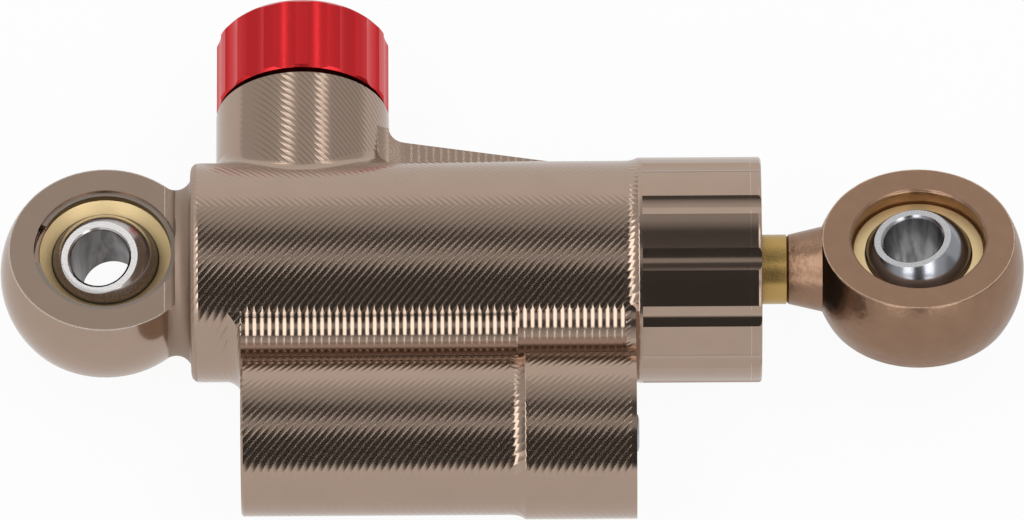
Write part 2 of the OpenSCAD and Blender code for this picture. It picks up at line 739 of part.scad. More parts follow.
module charging_screw() color(steel_tone) along_x(0, res_y) difference() {
    rotate_extrude() polygon(concat(
        [[0, cap_x + edge], [charge_r - edge, cap_x + edge],
        [charge_r, cap_x + 2 * edge], [charge_r, charge_head_x],
        [charge_head_r, charge_head_x]],
        round_points(charge_head_r - 1, charge_top_x - 1, 1, 0),
        [[0, charge_top_x]]));
    translate([0, 0, charge_top_x - 0.8 * key_af]) hexagon(key_af, key_af);
}

module knob() color(knob_tone) along_y(0) difference() {
    rotate_extrude() polygon([
        [0, knob_y], [knob_r - edge, knob_y], [knob_r, knob_y + edge],
        [knob_r, knob_top_y - knob_chamfer], [knob_r - knob_chamfer, knob_top_y],
        [0, knob_top_y]]);
    for (i = [0 : flute_count - 1]) rotate([0, 0, (i + 0.5) * 360 / flute_count])
        translate([knob_r - flute_depth + flute_r, 0, knob_y - 1])
        cylinder(r = flute_r, h = knob_h + 2);
    translate([0, 0, knob_y - 1]) cylinder(r = knob_hollow_r, h = knob_hollow + 1);
    translate([0, 0, screw_seat_y]) cylinder(r = screw_seat_r, h = screw_seat_h + 1);
    translate([0, 0, knob_y]) cylinder(r = spindle_r + fix_gap, h = drive_y - knob_y);
    translate([-drive_w / 2 - fix_gap, -drive_w / 2 - fix_gap, knob_y])
        cube([drive_w + 2 * fix_gap, drive_w + 2 * fix_gap, screw_seat_y - knob_y + 1]);
    for (side = [-1, 1]) translate([0, side * detent_at, knob_y])
        cylinder(r = detent_r + fix_gap, h = pocket_top_y - knob_y);
}

module knob_screw() color(steel_tone) along_y(0) difference() {
    rotate_extrude() polygon(concat(
        [[0, screw_seat_y - screw_len], [screw_r - edge, screw_seat_y - screw_len],
        [screw_r, screw_seat_y - screw_len + edge], [screw_r, screw_seat_y + fix_gap],
        [screw_head_r, screw_seat_y + fix_gap]],
        round_points(screw_head_r - 1, screw_seat_y + screw_head_h - 1, 1, 0),
        [[0, screw_seat_y + screw_head_h]]));
    translate([0, 0, screw_seat_y + screw_head_h - 0.6 * key_af])
        hexagon(key_af, key_af);
}

module spindle() color(steel_tone) along_y(0) difference() {
    union() {
        translate([0, 0, lead_y]) cylinder(r = lead_r, h = thrust_y + thrust_h - lead_y);
        translate([0, 0, thrust_y]) cylinder(r = thrust_r, h = thrust_h);
        translate([0, 0, thrust_y]) cylinder(r = spindle_r, h = drive_y - thrust_y - fix_gap);
        translate([-drive_w / 2, -drive_w / 2, thrust_y])
            cube([drive_w, drive_w, spindle_top_y - thrust_y]);
    }
    translate([0, 0, screw_seat_y - screw_len - 0.5])
        cylinder(r = screw_r + fix_gap, h = screw_len + 1);
}

module spindle_seal() color(rubber_tone) along_y(spindle_seal_y)
    seal(spindle_r + run_gap + small_seal, small_seal);

module bonnet() color(dark_tone) along_y(0) difference() {
    union() {
        translate([0, 0, bonnet_y]) cylinder(r = valve_r - fix_gap, h = bonnet_top_y - bonnet_y);
        translate([0, 0, boss_y + fix_gap])
            cylinder(r = bonnet_flange_r, h = bonnet_flange - fix_gap);
    }
    translate([0, 0, bonnet_y - 1]) cylinder(r = spindle_r + run_gap, h = boss_y);
    translate([0, 0, spindle_seal_y - small_seal - fix_gap])
        cylinder(r = spindle_r + run_gap + 2 * small_seal + fix_gap,
            h = 2 * small_seal + 2 * fix_gap);
    translate([0, 0, bonnet_seal_y - small_seal - fix_gap])
        ring(valve_r, valve_r - 2 * small_seal - fix_gap, 2 * small_seal + 2 * fix_gap);
    for (i = [0 : dimple_count - 1]) rotate([0, 0, (i + 0.5) * 360 / dimple_count + 15])
        translate([detent_at, 0, bonnet_top_y + detent_r - dimple_depth])
        sphere(r = detent_r);
}

module bonnet_seal() color(rubber_tone) along_y(bonnet_seal_y)
    seal(valve_r - small_seal - fix_gap / 2, small_seal - fix_gap / 2);

module valve_seat() color(brass_tone) along_y(0) difference() {
    translate([0, 0, valve_floor_y + fix_gap])
        cylinder(r = valve_r - fix_gap, h = seat_y - valve_floor_y - fix_gap);
    translate([0, 0, valve_floor_y - 1]) cylinder(r = needle_r + run_gap, h = seat_y);
    translate([0, 0, valve_floor_y + seat_floor])
        hexagon(needle_af + 2 * run_gap, seat_y);
    translate([0, 0, seat_seal_y - small_seal - fix_gap])
        ring(valve_r, valve_r - 2 * small_seal - fix_gap, 2 * small_seal + 2 * fix_gap);
    translate([0, 0, oilway_y + edge - oilway_r])
        ring(valve_r, valve_r - 1, 2 * oilway_r);
    for (i = [0 : 1]) rotate([0, 90, 90 * i]) translate([-oilway_y, 0, -valve_r])
        cylinder(r = port_r, h = 2 * valve_r);
}

module seat_seal() color(rubber_tone) along_y(seat_seal_y)
    seal(valve_r - small_seal - fix_gap / 2, small_seal - fix_gap / 2);

module needle() color(steel_tone) along_y(0) difference() {
    union() {
        translate([0, 0, needle_y]) hexagon(needle_af, needle_h);
        rotate_extrude() polygon([
            [0, needle_y - needle_plug - needle_cone],
            [needle_tip_r, needle_y - needle_plug - needle_cone],
            [needle_r, needle_y - needle_plug], [needle_r, needle_y + edge],
            [0, needle_y + edge]]);
    }
    translate([0, 0, lead_hole_y]) cylinder(r = lead_r + run_gap, h = needle_h + 1);
}

module detent_ball(side) color(steel_tone)
    translate([knob_x, detent_y, -side * detent_at]) sphere(r = detent_r, $fn = 48);

module detent_ball_a() detent_ball(1);

module detent_ball_b() detent_ball(-1);

// one length of wire, bent into curls, with both ends straight
module spring(rise, curls, r_mid, r_wire) {
    sides = 6;
    per_curl = 8;
    last = per_curl * curls;
    path = [for (i = [0 : last])
        let (a = 360 * i / per_curl)
        [r_mid * cos(a), r_mid * sin(a), rise * i / per_curl]];
    lift = atan(rise / (2 * PI * r_mid));
    points = [for (i = [0 : last]) let (a = 360 * i / per_curl)
        for (j = [0 : sides - 1]) let (t = 360 * j / sides)
        path[i] + r_wire * [cos(t) * cos(a) + sin(t) * sin(lift) * sin(a),
            cos(t) * sin(a) - sin(t) * sin(lift) * cos(a), sin(t) * cos(lift)]];
    faces = concat(
        [for (i = [0 : last - 1]) for (j = [0 : sides - 1])
            [i * sides + j, i * sides + (j + 1) % sides,
            (i + 1) * sides + (j + 1) % sides, (i + 1) * sides + j]],
        [[for (j = [0 : sides - 1]) sides - 1 - j]],
        [[for (j = [0 : sides - 1]) last * sides + j]]);
    polyhedron(points = points, faces = faces, convexity = 4);
}

module detent_spring(side) color(steel_tone) along_y(spring_y)
    translate([0, side * detent_at, 0])
    spring(curl_rise, curl_count, spring_r, wire_r);

module detent_spring_a() detent_spring(1);

module detent_spring_b() detent_spring(-1);

body();
body_race();
body_ball();
snap_ring();
rod_eye();
rod_race();
rod_ball();
piston_rod();
piston();
piston_ring();
piston_washer();
piston_nut();
bump_stop();
top_stop();
gland();
rod_bush();
rod_seal();
rod_wiper();
gland_seal();
gland_circlip();
float_piston();
float_seal();
reservoir_cap();
cap_seal();
cap_circlip();
charging_screw();
knob();
knob_screw();
spindle();
spindle_seal();
bonnet();
bonnet_seal();
valve_seat();
seat_seal();
needle();
detent_ball_a();
detent_ball_b();
detent_spring_a();
detent_spring_b();
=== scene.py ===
import math

import bpy
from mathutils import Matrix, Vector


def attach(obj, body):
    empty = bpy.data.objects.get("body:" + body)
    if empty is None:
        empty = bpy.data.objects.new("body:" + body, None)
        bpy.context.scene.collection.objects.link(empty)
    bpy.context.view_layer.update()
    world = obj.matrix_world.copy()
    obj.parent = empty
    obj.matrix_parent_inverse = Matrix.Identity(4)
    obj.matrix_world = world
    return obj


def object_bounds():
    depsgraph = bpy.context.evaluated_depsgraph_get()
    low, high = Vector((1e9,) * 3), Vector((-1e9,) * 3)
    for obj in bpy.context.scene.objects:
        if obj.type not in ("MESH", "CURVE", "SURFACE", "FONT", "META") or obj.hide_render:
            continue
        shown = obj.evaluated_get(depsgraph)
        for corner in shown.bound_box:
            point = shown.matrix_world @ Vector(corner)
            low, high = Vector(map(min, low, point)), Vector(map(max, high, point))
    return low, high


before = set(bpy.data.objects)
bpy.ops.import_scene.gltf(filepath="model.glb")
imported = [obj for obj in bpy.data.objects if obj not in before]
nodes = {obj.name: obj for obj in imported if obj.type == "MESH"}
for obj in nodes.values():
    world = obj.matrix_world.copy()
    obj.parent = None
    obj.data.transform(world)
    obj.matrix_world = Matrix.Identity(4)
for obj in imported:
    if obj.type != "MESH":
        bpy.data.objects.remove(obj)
cad_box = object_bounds()


# The body is one block of hard aluminium, milled and then anodised a warm grey-brown. A
# ball-nosed cutter left small scallops on its round faces: slanting lines on barrel,
# reservoir and boss, and straight ones across the valley and the web.
class Value:
    """A number or colour inside a material, which sums and products can be written with."""

    def __init__(self, finish, socket):
        self.finish, self.socket = finish, socket

    def math(self, operation, *values):
        return self.finish.add("ShaderNodeMath", {"operation": operation},
                               dict(enumerate(values)))

    def __add__(self, other):
        return self.math("ADD", self, other)

    def __radd__(self, other):
        return self.math("ADD", other, self)

    def __sub__(self, other):
        return self.math("SUBTRACT", self, other)

    def __rsub__(self, other):
        return self.math("SUBTRACT", other, self)

    def __mul__(self, other):
        return self.math("MULTIPLY", self, other)

    def __rmul__(self, other):
        return self.math("MULTIPLY", other, self)

    def __truediv__(self, other):
        return self.math("DIVIDE", self, other)

    def __rtruediv__(self, other):
        return self.math("DIVIDE", other, self)

    def __abs__(self):
        return self.math("ABSOLUTE", self)

    def __neg__(self):
        return self.math("MULTIPLY", self, -1.0)

    def fract(self):
        return self.math("FRACT", self)

    def root(self):
        return self.math("SQRT", self)

    def sine(self):
        return self.math("SINE", self)

    def least(self, other):
        return self.math("MINIMUM", self, other)

    def most(self, other):
        return self.math("MAXIMUM", self, other)

    def angle(self, other):
        return self.math("ARCTAN2", self, other)

    def rises(self, low, high):
        """0 below low and 1 above high, or the other way round if low is the larger."""
        return self.finish.add("ShaderNodeMapRange", {"interpolation_type": "SMOOTHSTEP"},
                               {"Value": self, "From Min": low, "From Max": high})

    def within(self, low, high, soft):
        """1 between low and high and 0 outside, with edges that are soft to either side."""
        return self.rises(low - soft, low + soft) * self.rises(high + soft, high - soft)


class Finish:
    """A material, or the light of a world, built node by node."""

    def __init__(self, name, kind=bpy.data.materials):
        self.holder = kind.new(name)
        self.holder.use_nodes = True
        self.tree = self.holder.node_tree
        self.tree.nodes.clear()

    def add(self, kind, settings, inputs, output=0):
        """A node of a kind, with its settings and its sockets' values, by one output."""
        node = self.tree.nodes.new(kind)
        for name, value in settings.items():
            if name == "stops":
                stops = node.color_ramp.elements
                stops.remove(stops[0])
                stops[0].position, stops[0].color = value[0][0], (*value[0][1], 1.0)
                for place, tone in value[1:]:
                    stops.new(place).color = (*tone, 1.0)
            else:
                setattr(node, name, value)
        for name, value in inputs.items():
            if isinstance(value, Value):
                self.tree.links.new(value.socket, node.inputs[name])
            else:
                node.inputs[name].default_value = value
        return Value(self, node.outputs[output]) if node.outputs else None

    def parts(self, vector):
        """X, Y and Z of a vector."""
        return [self.add("ShaderNodeSeparateXYZ", {}, {0: vector}, i) for i in range(3)]

    def place(self):
        """X, Y and Z on the piece, in millimetres."""
        here = self.add("ShaderNodeTexCoord", {}, {}, "Object")
        return self.parts(self.add("ShaderNodeVectorMath", {"operation": "SCALE"},
                                   {0: here, "Scale": 1000.0}))

    def noise(self, scale, detail, x, y, z):
        """Cloudy noise of so many patches to a millimetre."""
        where = self.add("ShaderNodeCombineXYZ", {}, {0: x, 1: y, 2: z})
        return self.add("ShaderNodeTexNoise", {},
                        {"Vector": where, "Scale": scale, "Detail": detail})

    def mix(self, factor, first, second):
        """The first colour where the factor is 0 and the second where it is 1."""
        return self.add("ShaderNodeMix", {"data_type": "RGBA"},
                        {0: factor, 6: first, 7: second}, 2)

    def metal(self, colour, rough, height, metallic=1.0):
        """The finished material, with a relief whose height is in millimetres."""
        relief = self.add("ShaderNodeBump", {},
                          {"Strength": 1.0, "Distance": 0.001, "Height": height})
        shader = self.add("ShaderNodeBsdfPrincipled", {},
                          {"Base Color": colour, "Roughness": rough, "Metallic": metallic,
                           "Normal": relief})
        self.add("ShaderNodeOutputMaterial", {}, {"Surface": shader})
        return self.holder


def dress(material, *names):
    """Gives nodes a material in all their slots."""
    for name in names:
        slots = nodes[name].material_slots
        if not slots:
            nodes[name].data.materials.append(material)
        for slot in slots:
            slot.material = material


def length(*sides):
    """The length that two or three sides, square to each other, span."""
    total = sides[0] * sides[0]
    for side in sides[1:]:
        total = total + side * side
    return total.root()


def scallops(across, pitch, tool):
    """Height of the cusps that a round tool leaves, in millimetres."""
    off = (across / pitch).fract() - 0.5
    return off * off * (pitch * pitch / (2 * tool))


# Places and sizes on the body, in millimetres.
barrel_r = 14.78
barrel_start = 11.3
barrel_end = 71.0
boss_r = 11.7
knob_x = 26.55
foot_reach = 18.0
res_y = -26.2
res_r = 10.9
valley_start = 18.2
valley_end = 70.2
valley_top = -12.3
valley_bed = -15.6
valley_foot = -19.3
web_start = 39.8
web_end = 60.0
web_half = 5.3
corner_start = 33.2
swirl_x = 38.1
swirl_y = 16.2
rim_inner = 12.84
rim_outer = 12.99
flat_x = 8.0
scribe_x = 86.93

# The cutter's radius, the pitch of its lines and the way that runs square across them. The
# near half's lines meet the far half's at the parting.
tool_r = 2.6
line_pitch = 0.6666
line_x = 0.6607
line_y = 0.7507
parting_y = 0.7
valley_tool_r = 3.0
valley_pitch = 1.009

body_tones = (0.405, 0.301, 0.236, 1.0), (0.445, 0.33, 0.258, 1.0)
# Painted highlight colour, which is also the bare metal of the scribed line.
glint_and_bare_metal = (0.95, 0.85, 0.76, 1.0)
# Painted shade for the neck.
painted_neck_shade = (0.2, 0.14, 0.1, 1.0)
# Painted dark reflection for the boss's tool lines.
painted_line_reflection = (0.13, 0.09, 0.065, 1.0)
# Painted reflection of the barrel for the valley's bed.
painted_valley_reflection = (0.22, 0.12, 0.08, 1.0)

billet = Finish("milled_billet")
x, y, z = billet.place()
grain = billet.noise(9.0, 3.0, x, y, z)
from_barrel = length(y, z)
from_res = length(y - res_y, z)
from_boss = length(x - knob_x, z)
from_eye = length(x, y)

# Which tool lines a place has: barrel and reservoir, web, boss, valley and boss foot.
on_body = x.rises(barrel_start, barrel_start + 0.6) * x.rises(barrel_end, barrel_end - 0.6)
high = (y.rises(0.5, 1.5) * from_barrel.rises(barrel_r + 0.22, barrel_r + 0.42)
        * x.rises(web_end, web_end - 1.0))
on_web = high * x.rises(web_start, web_start + 1.2) * abs(z).rises(web_half, web_half - 0.2)
corner = (high * from_boss.rises(boss_r + 0.05, boss_r + 0.2)
          * x.within(corner_start, web_start + 0.2, 0.4))
round_boss = y.rises(5.0, 6.0) * from_boss.rises(boss_r + 0.2, boss_r + 0.1)
off_barrel = y.rises(5.0, 6.0) * from_barrel.rises(barrel_r + 0.04, barrel_r + 0.1)
cusp = abs((x / valley_pitch).fract() - 0.5) * 2
every_other = ((x / (2 * valley_pitch)).fract() - 0.5).rises(-0.02, 0.02)
tip = cusp * cusp * (0.55 + every_other * 0.35) + valley_top
in_valley = (y.rises(tip + 0.05, tip - 0.05) * from_res.rises(res_r + 0.05, res_r + 0.1)
             * y.rises(valley_foot, valley_foot + 0.3)
             * x.rises(valley_start, valley_start + 0.2) * x.rises(valley_end, valley_end - 0.2))
at_foot = (y.rises(9.0, 10.0) * from_boss.rises(foot_reach, foot_reach - 2.5)
           * (1 - off_barrel))
far_half = y.rises(parting_y - 0.6, parting_y + 0.6)
slanted = on_body * (1 - off_barrel) * (1 - in_valley) * (1 - at_foot * 0.8)

# The lines themselves, by their height. Those of the boss lie square to the near half's.
near_across = x * line_x - y * line_y
far_across = x * line_x + y * line_y
boss_across = x * line_y + y * line_x
upright = scallops(x, valley_pitch, valley_tool_r)
swirls = scallops(length(x - swirl_x, y - swirl_y), 0.5, 1.6)
height = (scallops(near_across, line_pitch, tool_r) * slanted * (1 - far_half)
          + scallops(far_across, line_pitch, tool_r) * slanted * far_half
          + scallops(boss_across, line_pitch, tool_r) * round_boss * 0.6
          + upright * in_valley + upright * on_web * (0.3 + grain * 0.8)
          + (grain - 0.5) * 0.002 + swirls * corner)

# Bright lines round the eye's face and on its flat are painted highlights; the line scribed round
# the collar is bare metal. The neck gets painted shade, the valley's bed a painted reflection of
# the barrel, and the boss's tool lines painted dark reflections.
# Painted highlights: bright broken lines along the edge of the eye's face and the two cuts on its
# flat.
rim = from_eye.within(rim_inner, rim_outer, 0.05) * x.rises(flat_x, flat_x - 0.4)
cuts = x.within(flat_x - 0.04, flat_x + 0.06, 0.04) + x.within(flat_x + 0.9, flat_x + 1.0, 0.04)
painted_glint = (rim + cuts) * z.within(5.6, 5.85, 0.06) * grain.rises(0.3, 0.62)
scribed = (x.within(scribe_x, scribe_x + 0.04, 0.02)
           * from_barrel.rises(barrel_r + 0.12, barrel_r + 0.22))
on_neck = x.within(8.4, 11.45, 0.3) * from_barrel.rises(14.2, 13.6)
left_round = x.within(11.2, 12.35, 0.15) * from_barrel.rises(12.9, 13.2)
# The dark tool lines on boss and foot are painted reflections of the boss's lower part.
boss_line = (boss_across / line_pitch).fract().rises(0.76, 0.9) * round_boss
foot_line = (far_across / line_pitch).fract().rises(0.8, 0.92) * at_foot * 0.8
painted_dark_lines = (boss_line + foot_line) * x.rises(19.0, 22.0)
tone = billet.mix(billet.noise(0.25, 2.0, x, y, z), *body_tones)
tone = billet.mix((painted_glint + scribed * 0.5).least(1.0), tone, glint_and_bare_metal)
# The neck between eye and barrel is painted darker as shade.
tone = billet.mix(on_neck * 0.4, tone, painted_neck_shade)
tone = billet.mix(painted_dark_lines * (0.35 + grain * 0.4), tone, painted_line_reflection)
# The valley's low bed is painted dark brown, a painted reflection of the barrel's underside.
tone = billet.mix(in_valley * y.rises(valley_bed, valley_bed - 0.6) * 0.7, tone, painted_valley_reflection)
dress(billet.metal(tone, 0.11 + grain * 0.05 + on_neck * 0.38 + left_round * 0.3
                   + corner * 0.2 + at_foot * 0.25, height), "body")

# Where the cutter's passes end, three rings of the body's own metal are laid on it: the
# hollow round between boss and barrel, and the rows of scoops at the collar and at the
# reservoir's step. Their points lie where the ball-nosed cutter would leave them.
plain = Finish("milled_ends")
grain = plain.noise(3.0, 3.0, *plain.place())
plain_metal = plain.metal(plain.mix(grain, *body_tones), 0.12 + grain * 0.08, grain * 0.012)


def ring_of(name, around, across, place):
    """A closed ring of the body's metal: a sheet of places, bent round and joined up."""
    bpy.ops.object.select_all(action="DESELECT")
    bpy.ops.mesh.primitive_grid_add(x_subdivisions=around, y_subdivisions=across)
    piece = bpy.context.object
    piece.name = name
    for number, vertex in enumerate(piece.data.vertices):
        turn = 2 * math.pi * (number % (around + 1) % around) / around
        part = number // (around + 1) % across
        vertex.co = [value / 1000 for value in place(turn, part, across)]
    bpy.ops.object.mode_set(mode="EDIT")
    bpy.ops.mesh.select_all(action="SELECT")
    bpy.ops.mesh.remove_doubles(threshold=1e-7)
    bpy.ops.mesh.normals_make_consistent(inside=False)
    bpy.ops.object.mode_set(mode="OBJECT")
    bpy.ops.object.shade_smooth_by_angle(angle=math.radians(40))
    piece.data.materials.append(plain_metal)
    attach(piece, "housing")


foot_r = 2.4
foot_r_left = 1.5
left_from = 0.87


def boss_foot(turn, part, across):
    """A place on the round between boss and barrel, or on its two buried corners."""
    steps = across - 3
    leftward = max(0.0, -math.cos(turn) - left_from) / (1 - left_from)
    round_r = foot_r - (foot_r - foot_r_left) * leftward
    out = boss_r + round_r
    off = barrel_r + round_r
    side = out * math.sin(turn)
    middle = (knob_x + out * math.cos(turn), math.sqrt(off ** 2 - side ** 2), side)
    to_boss = (-math.cos(turn), 0.0, -math.sin(turn))
    to_barrel = (0.0, -middle[1] / off, -middle[2] / off)
    share, reach = min(part, steps) / steps, round_r - 0.003
    if part > steps:
        share, reach = (1.0 if part == steps + 1 else 0.0), round_r + 0.6
    spread = math.acos(sum(a * b for a, b in zip(to_boss, to_barrel)))
    first = math.sin((1 - share) * spread) / math.sin(spread)
    second = math.sin(share * spread) / math.sin(spread)
    return [m + reach * (first * a + second * b)
            for m, a, b in zip(middle, to_boss, to_barrel)]


def pass_ends(axis_y, radius, rise, start, stop, end, lift):
    """A ring of scoops where slanting passes stop and the cutter lifts out on an arc."""
    inner = radius - 0.5

    def place(turn, part, across):
        rows = across // 2
        if part >= rows:
            x = end - (end - start) * (part - rows) / (across - rows - 1)
            return x, axis_y + inner * math.sin(turn), inner * math.cos(turn)
        x = start + (end - start) * part / (rows - 1)
        y = axis_y + radius * math.sin(turn)
        way = -1 if y > axis_y + parting_y else 1
        off = (((x * line_x - y * line_y * way) / line_pitch) % 1 - 0.5) * line_pitch
        low = rise
        for line in (off - line_pitch, off, off + line_pitch, off + 2 * line_pitch):
            beyond = max(0.0, (x - stop) / line_y - line * line_x / line_y)
            sharp = tool_r - 1.1 * min(1.0, max(0.0, x - stop) / 0.4)
            away = line * line * lift / sharp + beyond * beyond
            low = min(low, lift - math.sqrt(max(0.0, lift * lift - away)))
        out = radius + low + 0.004
        return x, axis_y + out * math.sin(turn), out * math.cos(turn)
    return place


ring_of("boss_round", 144, 11, boss_foot)
ring_of("collar_scoops", 1160, 44,
        pass_ends(0.0, barrel_r, rise=0.414, start=69.9, stop=70.35, end=72.35, lift=4.2))
ring_of("step_scoops", 860, 44,
        pass_ends(res_y, res_r, rise=0.594, start=54.4, stop=54.8, end=56.9, lift=3.4))

# The races are brass rings pressed into both eyes; the left one has a dished face. They
# are turned, with fine rings from the lathe. The mouth that takes the ball is painted dark
# brown as shade, with a painted black shadow line at its edge.
eye_x = 109.6
mouth_r = 7.22


def race_finish(name, middle):
    """Pale turned brass with painted shade and a painted shadow line at the mouth that takes the
    ball.
    """
    finish = Finish(name)
    x, y, z = finish.place()
    out = length(x - middle, y, z * math.sqrt(0.03))
    fine = finish.noise(5.0, 4.0, x, y, z)
    shade = finish.mix(fine, (0.73, 0.56, 0.30, 1.0), (0.86, 0.67, 0.38, 1.0))
    # Painted shade inside the mouth, and a painted black shadow line at its edge.
    shade = finish.mix(out.rises(mouth_r + 0.14, mouth_r), shade, (0.105, 0.06, 0.03, 1.0))
    shade = finish.mix(out.within(mouth_r - 0.1, mouth_r + 0.04, 0.05), shade,
                       (0.012, 0.008, 0.006, 1.0))
    return finish.metal(shade, 0.44 + fine * 0.12, (out * 35.0).sine() * 0.0006 + fine * 0.004)


dress(race_finish("race_brass", 0.0), "body_race")
dress(race_finish("race_bronze", eye_x), "rod_race")

# The balls are hard chromed steel, drilled through for the mounting bolts and ground flat
# on both faces. They turn and lean in the races, and lie at rest as in the photograph.
ball_half = 6.0
bolt_r = 4.0
eye_turn = 10.5


def leaned(lean, toward, turn=0.0):
    """The way that a hole points, from its lean, the lean's direction and its eye's turn."""
    lean, toward, turn = [math.radians(angle) for angle in (lean, toward, turn)]
    x = math.sin(lean) * math.cos(toward)
    y = math.sin(lean) * math.sin(toward)
    z = math.cos(lean)
    return x, y * math.cos(turn) + z * math.sin(turn), z * math.cos(turn) - y * math.sin(turn)


def about(axis, x, y, z):
    """How far a place lies along an axis through the middle, and how far out from it."""
    along = x * axis[0] + y * axis[1] + z * axis[2]
    return along, (x * x + y * y + z * z - along * along).root()


def ball_finish(name, middle, axis, rough, colour, ground, race_shade_from, race_shade_colour, bore_shade_tones):
    """Polished steel with ground faces and a drilled hole painted dark as shade, and painted shade
    and reflection where the ball sinks into its race.
    """
    finish = Finish(name)
    x, y, z = finish.place()
    x = x - middle
    along, out = about(axis, x, y, z)
    fine = finish.noise(3.5, 4.0, x, y, z)
    streaks = finish.noise(0.9, 3.0, x, y, z * 0.12)
    hole = out.rises(bolt_r + 0.16, bolt_r + 0.06)
    face = abs(along).rises(ball_half - 0.07, ball_half - 0.03)
    from_seat = length(x, y)
    # Painted shade and reflection of the race, darker and less metallic, where the ball sinks into
    # it.
    painted_race_shade = from_seat.rises(race_shade_from - 0.25, race_shade_from + 0.1) * (0.75 + fine * 0.4).least(1.0)
    shade = finish.mix(painted_race_shade, colour, race_shade_colour)
    # A painted black shadow line where the ball meets the race's mouth.
    shade = finish.mix(from_seat.rises(mouth_r - 0.24, mouth_r - 0.1), shade,
                       (0.01, 0.007, 0.005, 1.0))
    shade = finish.mix(face, shade, ground)
    # The bore is painted dark as shade, with streaks.
    shade = finish.mix(hole, shade, finish.mix(streaks.rises(0.35, 0.65), *bore_shade_tones))
    return finish.metal(shade, rough + fine * 0.08 + hole * 0.12 + face * 0.08 + painted_race_shade * 0.3,
                        fine * 0.004 + (out * 20.0).sine() * 0.0004, 1.0 - painted_race_shade * 0.9)


# race_shade_colour is painted shade where each ball sinks into its race.
dress(ball_finish("ball_steel_left", 0.0, leaned(13.8, 238.0), rough=0.14,
                  colour=(0.50, 0.46, 0.44, 1.0), ground=(0.51, 0.495, 0.49, 1.0),
                  race_shade_from=6.2, race_shade_colour=(0.085, 0.048, 0.027, 1.0),
                  bore_shade_tones=((0.025, 0.02, 0.02, 1.0), (0.11, 0.095, 0.092, 1.0))), "body_ball")
dress(ball_finish("ball_steel_right", eye_x, leaned(7.9, 190.5, eye_turn), rough=0.15,
                  colour=(0.38, 0.39, 0.42, 1.0), ground=(0.47, 0.465, 0.475, 1.0),
                  race_shade_from=7.3, race_shade_colour=(0.17, 0.105, 0.055, 1.0),
                  bore_shade_tones=((0.16, 0.155, 0.155, 1.0), (0.34, 0.335, 0.34, 1.0))), "rod_ball")


# The snap ring is bent from square spring wire and sprung into its groove over the left
# race. Its gap is at the left.
def turned(name, colour, rough, axis, middle=(0.0, 0.0, 0.0), ring=0.18, depth=0.004,
           metallic=1.0):
    """A metal with fine turning rings round an axis, X, Y or Z, through a middle."""
    finish = Finish(name)
    there = finish.place()
    axis = "XYZ".index(axis)
    out = length(*[there[i] - middle[i] for i in range(3) if i != axis])
    rings = ((out + there[axis]) * (2 * math.pi / ring)).sine()
    patches = finish.noise(0.6, 3.0, *there)
    shade = finish.mix(patches, (*[c * 0.92 for c in colour], 1.0), (*colour, 1.0))
    fine = finish.noise(14.0, 2.0, *there)
    return finish.metal(shade, rough + fine * 0.06, rings * depth * 0.5 + fine * depth, metallic)


dress(turned("spring_steel", (0.30, 0.25, 0.21), 0.3, "Z", ring=0.4, depth=0.002), "snap_ring")

# The rod is hard-chromed steel with a gold tint. It is ground and polished all round, and
# slides through the gland.
dress(turned("rod_gold", (0.50, 0.33, 0.115), 0.24, "X", ring=0.12, depth=0.0015),
      "piston_rod")

# The rod eye is turned from a ball of aluminium, anodised brown, with a bored cup. Its
# face has a painted highlight round its edge, and its neck and round side are a little rough.
neck_end = 97.6
face_height = 5.75
brown = Finish("eye_brown")
x, y, z = brown.place()
along, out = about(leaned(0.0, 0.0, eye_turn), x - eye_x, y, z)
satin = brown.noise(12.0, 3.0, x, y, z)
patchy = brown.noise(0.5, 3.0, x, y, z)
speckle = brown.noise(8.0, 1.0, x, y, z)
# A painted highlight along the edge of the face.
painted_glint = out.within(rim_inner, rim_outer, 0.05) * along.within(5.6, 5.9, 0.05)
on_neck = x.rises(neck_end, neck_end - 0.6)
round_side = abs(along).rises(face_height, face_height - 0.15)
shade = brown.mix(patchy, (0.27, 0.163, 0.107, 1.0), (0.33, 0.205, 0.135, 1.0))
shade = brown.mix(painted_glint * satin.rises(0.4, 0.6), shade, (0.8, 0.6, 0.45, 1.0))
grainy = satin * 0.004 + speckle * on_neck * 0.013 + patchy * round_side * 0.12
dress(brown.metal(shade, 0.25 + satin * 0.08, grainy), "rod_eye")

# The pieces on the rod inside the cylinder: piston, washer and nut of steel, a wear ring
# of filled plastic, and rubber stops at both ends of the stroke. The seals are of the
# same rubber.
dress(turned("piston_alloy", (0.6, 0.6, 0.61), 0.28, "X"), "piston", "piston_washer",
      "piston_nut", "float_piston", "valve_seat")
dress(turned("ring_plastic", (0.05, 0.045, 0.04), 0.45, "X", metallic=0.0), "piston_ring")
rubber = Finish("seal_rubber")
skin = rubber.noise(6.0, 4.0, *rubber.place())
dress(rubber.metal(rubber.mix(skin, (0.012, 0.012, 0.012, 1.0), (0.022, 0.021, 0.02, 1.0)),
                   0.5 + skin * 0.2, skin * 0.01, metallic=0.0),
      "bump_stop", "top_stop", "rod_seal", "rod_wiper", "gland_seal", "float_seal",
      "cap_seal", "spindle_seal", "bonnet_seal", "seat_seal")

# The gland of black anodised aluminium closes the cylinder and guides the rod in a bronze
# bush. A circlip of spring steel holds it.
dress(turned("gland_black", (0.03, 0.03, 0.032), 0.35, "X"), "gland")
dress(turned("bush_bronze", (0.45, 0.3, 0.12), 0.3, "X"), "rod_bush")
dress(turned("circlip_steel", (0.2, 0.2, 0.21), 0.35, "X"), "gland_circlip", "cap_circlip")

